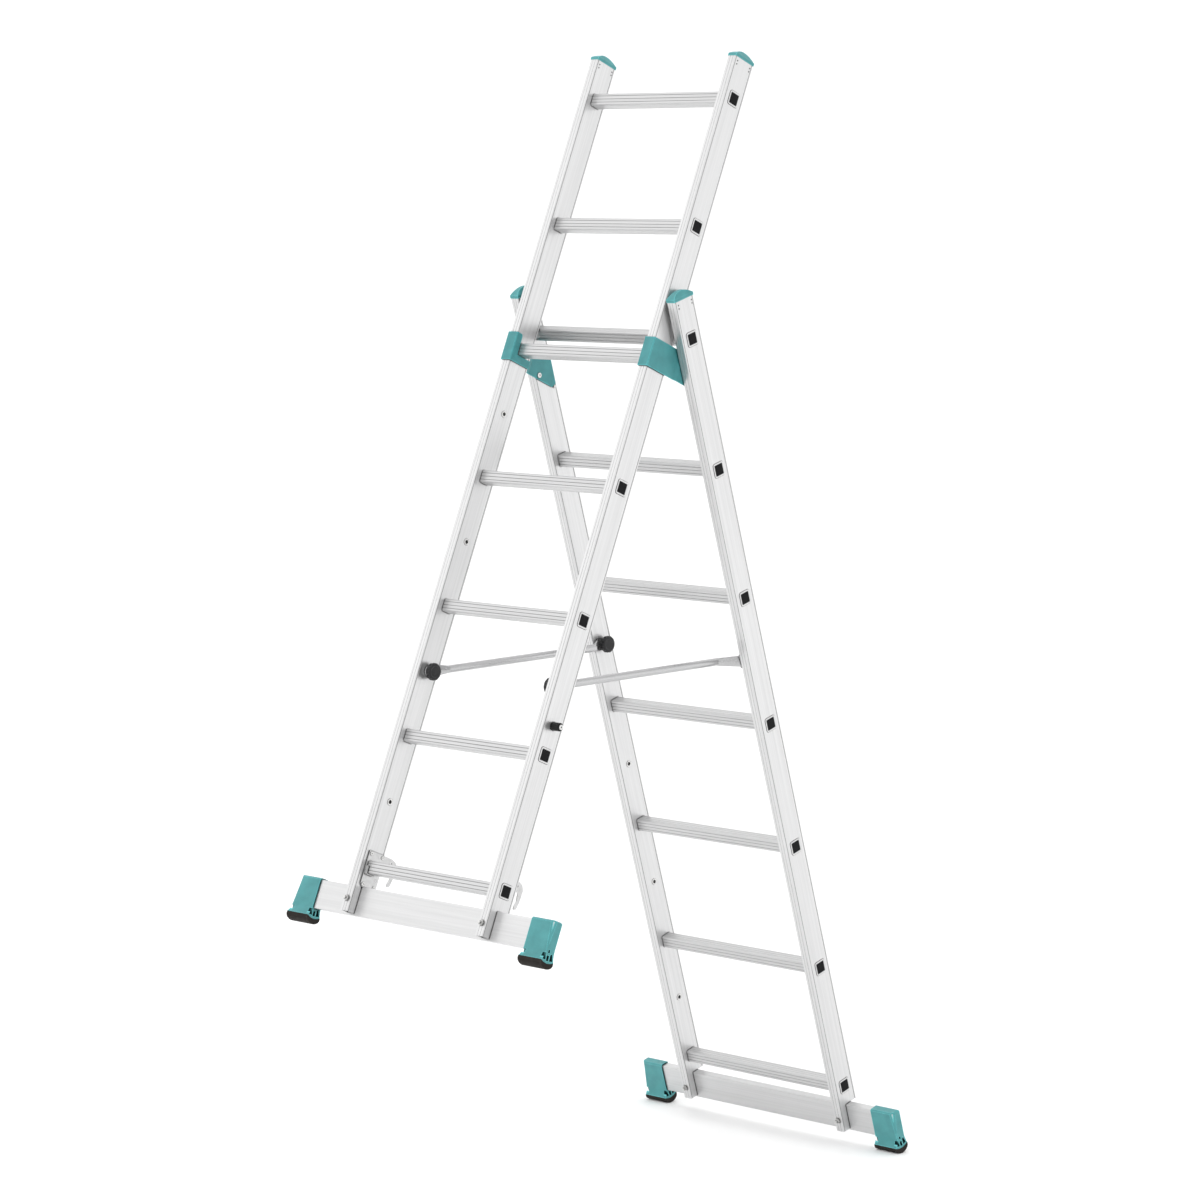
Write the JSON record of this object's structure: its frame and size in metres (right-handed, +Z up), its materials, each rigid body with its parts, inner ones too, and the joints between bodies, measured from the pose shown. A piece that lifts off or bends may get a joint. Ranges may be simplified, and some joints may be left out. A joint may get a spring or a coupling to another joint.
{
  "type": "multi position ladder",
  "caption": "Two-section aluminium stair ladder in its A-frame pose, hinged at sliding guide brackets, with clamped side braces and stabilizer bars with rubber-soled feet.",
  "frame": {"origin": "middle of the bounding box, at the lowest point of the rear section's soles", "axes": "+X along the rungs, -Y toward the front section's feet, +Z up"},
  "size_m": [0.7372, 1.101, 2.3172],
  "materials": {
    "aluminium_extrusion": "satin, drawn along its length",
    "aluminium_bar": "satin, drawn along its length",
    "black_plug": "matt moulded",
    "teal_plastic": "satin moulded",
    "teal_boot": "satin moulded",
    "sole_rubber": "matt moulded",
    "teal_steel": "satin powder coat",
    "brace_tube": "satin drawn tube",
    "hook_plate": "zinc plated",
    "black_knob": "satin moulded",
    "black_peg": "matt moulded",
    "zinc_steel": "zinc plated"
  },
  "bodies": {
    "rear_section": {"bracket_stop_pins": "zinc_steel", "hinge_rivets": "zinc_steel", "rear_bar_bolts": "zinc_steel", "rear_bar_nuts": "zinc_steel", "rear_left_boot": "teal_boot", "rear_left_sole": "sole_rubber", "rear_left_stile": "aluminium_extrusion", "rear_left_top_cap": "teal_plastic", "rear_right_boot": "teal_boot", "rear_right_sole": "sole_rubber", "rear_right_stile": "aluminium_extrusion", "rear_right_top_cap": "teal_plastic", "rear_rung_1": "aluminium_extrusion", "rear_rung_2": "aluminium_extrusion", "rear_rung_3": "aluminium_extrusion", "rear_rung_4": "aluminium_extrusion", "rear_rung_5": "aluminium_extrusion", "rear_rung_6": "aluminium_extrusion", "rear_rung_7": "aluminium_extrusion", "rear_rung_plugs": "black_plug", "rear_stabilizer_bar": "aluminium_bar", "rear_threaded_inserts": "zinc_steel"},
    "guide_brackets": {"left_guide_bracket": "teal_steel", "right_guide_bracket": "teal_steel"},
    "front_section": {"bumper_peg_screws": "zinc_steel", "bumper_pegs": "black_peg", "front_bar_bolts": "zinc_steel", "front_bar_nuts": "zinc_steel", "front_left_boot": "teal_boot", "front_left_sole": "sole_rubber", "front_left_stile": "aluminium_extrusion", "front_left_top_cap": "teal_plastic", "front_right_boot": "teal_boot", "front_right_sole": "sole_rubber", "front_right_stile": "aluminium_extrusion", "front_right_top_cap": "teal_plastic", "front_rung_1": "aluminium_extrusion", "front_rung_2": "aluminium_extrusion", "front_rung_3": "aluminium_extrusion", "front_rung_4": "aluminium_extrusion", "front_rung_5": "aluminium_extrusion", "front_rung_6": "aluminium_extrusion", "front_rung_7": "aluminium_extrusion", "front_rung_plugs": "black_plug", "front_stabilizer_bar": "aluminium_bar", "front_threaded_inserts": "zinc_steel", "hook_rivets": "zinc_steel", "left_catch_hook": "hook_plate", "right_catch_hook": "hook_plate"},
    "brace_left": {"left_brace": "brace_tube"},
    "brace_right": {"right_brace": "brace_tube"},
    "rear_left_knob": {"rear_left_knob": "black_knob", "rear_left_knob_stud": "zinc_steel"},
    "rear_right_knob": {"rear_right_knob": "black_knob", "rear_right_knob_stud": "zinc_steel"},
    "front_left_knob": {"front_left_knob": "black_knob", "front_left_knob_stud": "zinc_steel"},
    "front_right_knob": {"front_right_knob": "black_knob", "front_right_knob_stud": "zinc_steel"}
  },
  "joints": [
    {"name": "fold", "type": "hinge", "parent": "rear_section", "child": "guide_brackets", "pos_m": [0, 0.02354, 1.65052], "axis": [1, 0, 0], "range_deg": [0, 39.5]},
    {"name": "lift", "type": "slide", "parent": "guide_brackets", "child": "front_section", "axis": [0, 0.3882, 0.9216], "range_m": [0, 0.1]},
    {"name": "brace_left_swing", "type": "hinge", "parent": "rear_section", "child": "brace_left", "pos_m": [-0.2, 0.21675, 1.06881], "axis": [-1, 0, 0], "range_deg": [-95, 0]},
    {"name": "brace_right_swing", "type": "hinge", "parent": "rear_section", "child": "brace_right", "pos_m": [0.2, 0.21675, 1.06881], "axis": [-1, 0, 0], "range_deg": [-95, 0]},
    {"name": "rear_left_knob_turn", "type": "hinge", "parent": "rear_section", "child": "rear_left_knob", "pos_m": [-0.2, 0.21675, 1.06881], "axis": [1, 0, 0], "continuous": true},
    {"name": "rear_right_knob_turn", "type": "hinge", "parent": "rear_section", "child": "rear_right_knob", "pos_m": [0.2, 0.21675, 1.06881], "axis": [1, 0, 0], "continuous": true},
    {"name": "front_left_knob_turn", "type": "hinge", "parent": "brace_left", "child": "front_left_knob", "pos_m": [-0.175, -0.32167, 1.05915], "axis": [1, 0, 0], "continuous": true},
    {"name": "front_right_knob_turn", "type": "hinge", "parent": "brace_right", "child": "front_right_knob", "pos_m": [0.175, -0.32167, 1.05915], "axis": [1, 0, 0], "continuous": true}
  ]
}
